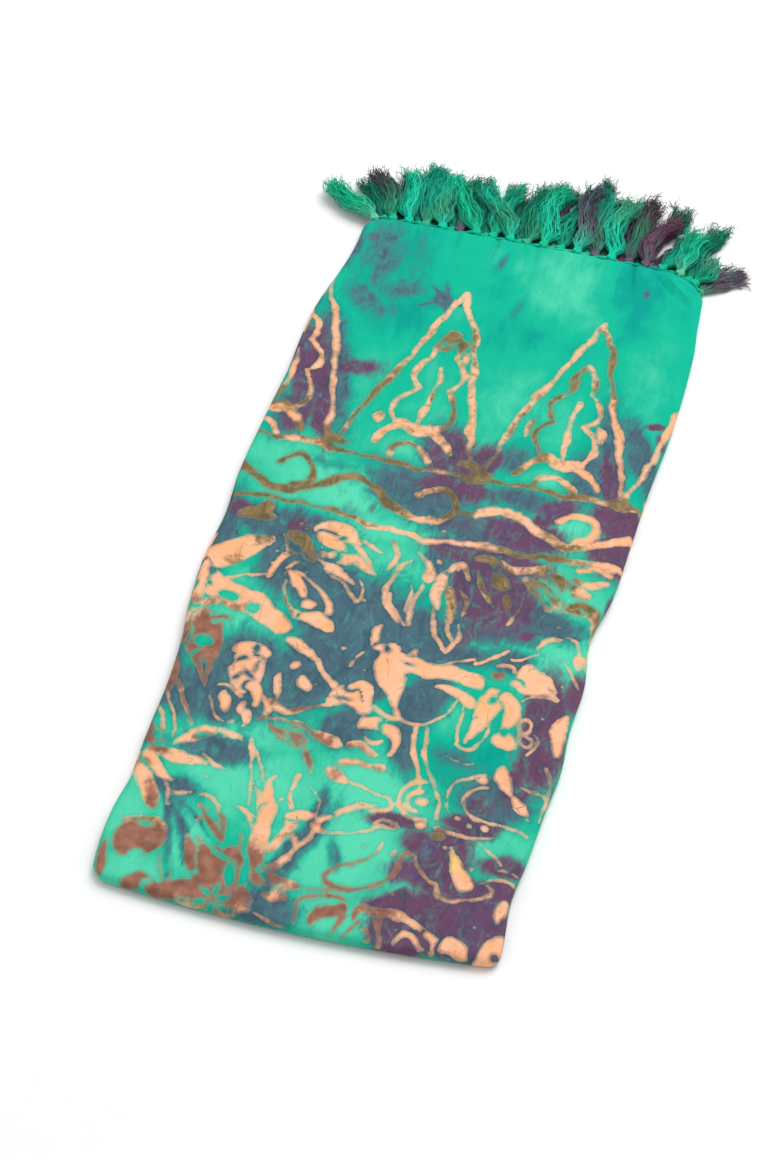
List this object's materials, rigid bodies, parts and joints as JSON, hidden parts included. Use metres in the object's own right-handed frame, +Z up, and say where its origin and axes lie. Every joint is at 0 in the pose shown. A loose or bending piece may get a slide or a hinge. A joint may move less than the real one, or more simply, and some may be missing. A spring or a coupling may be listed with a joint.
{
  "type": "sarong",
  "caption": "Sarong of soft batik cloth, folded into a flat layered rectangle, with a knotted fringe along one end.",
  "frame": {"origin": "centre of the bounding box on X and Y, at the flat underside", "axes": "+Y runs along the folded length from the near fold to the fringed hem, +Z is up out of the cloth, +X is across to the wrapped side fold"},
  "size_m": [0.3688, 0.7972, 0.013],
  "materials": {
    "batik_cloth": "soft woven rayon, teal and mint with peach resist lines and purple dye clouds",
    "inner_cloth": "the same soft cloth, inner layers",
    "green_fringe": "knotted loose threads, teal green",
    "purple_fringe": "knotted loose threads, dusky purple"
  },
  "bodies": {
    "root": {"folded_layers": "inner_cloth", "upper_leaf": "batik_cloth", "tassel_01": "green_fringe", "tassel_02": "green_fringe", "tassel_03": "purple_fringe", "tassel_04": "green_fringe", "tassel_05": "green_fringe", "tassel_06": "green_fringe", "tassel_07": "green_fringe", "tassel_08": "green_fringe", "tassel_09": "green_fringe", "tassel_10": "green_fringe", "tassel_11": "green_fringe", "tassel_12": "green_fringe", "tassel_13": "green_fringe", "tassel_14": "green_fringe", "tassel_15": "green_fringe", "tassel_16": "green_fringe", "tassel_17": "green_fringe", "tassel_18": "green_fringe", "tassel_19": "green_fringe", "tassel_20": "green_fringe", "tassel_21": "green_fringe", "tassel_22": "purple_fringe", "tassel_23": "green_fringe", "tassel_24": "green_fringe", "tassel_25": "green_fringe", "tassel_26": "green_fringe", "tassel_27": "green_fringe", "tassel_28": "green_fringe", "tassel_29": "green_fringe", "tassel_30": "purple_fringe", "tassel_31": "purple_fringe", "tassel_32": "green_fringe", "tassel_33": "green_fringe", "tassel_34": "green_fringe", "tassel_35": "green_fringe", "tassel_36": "green_fringe", "tassel_37": "green_fringe", "tassel_38": "green_fringe", "tassel_39": "green_fringe", "tassel_40": "purple_fringe"}
  },
  "joints": []
}
